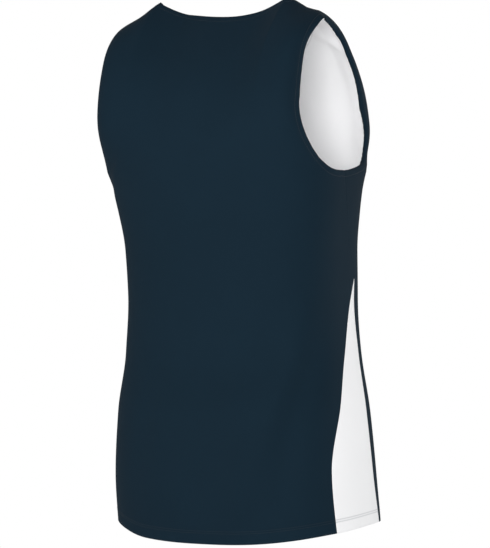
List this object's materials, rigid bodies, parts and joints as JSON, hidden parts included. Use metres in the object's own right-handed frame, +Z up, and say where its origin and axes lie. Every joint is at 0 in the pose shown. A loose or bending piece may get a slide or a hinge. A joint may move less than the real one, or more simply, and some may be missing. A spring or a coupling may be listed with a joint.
{
  "type": "basketball jersey",
  "caption": "Sleeveless two-layer basketball jersey in its worn, filled shape, open at neck, armholes and hem, with a pale wedge let into each side.",
  "frame": {"origin": "midway between the two shoulder straps, at the height where their neck edges cross the shoulders", "axes": "+Z up the body, -Y the way the wearer faces, +X to the wearer's left"},
  "size_m": [0.3664, 0.2822, 0.7365],
  "materials": {
    "navy_knit": "matt dark blue-green polyester knit",
    "white_knit": "matt white polyester knit"
  },
  "bodies": {
    "root": {"back_outer": "navy_knit", "front_outer": "navy_knit", "side_insert_left": "white_knit", "side_insert_right": "white_knit", "back_inner": "white_knit", "front_inner": "white_knit"}
  },
  "joints": []
}
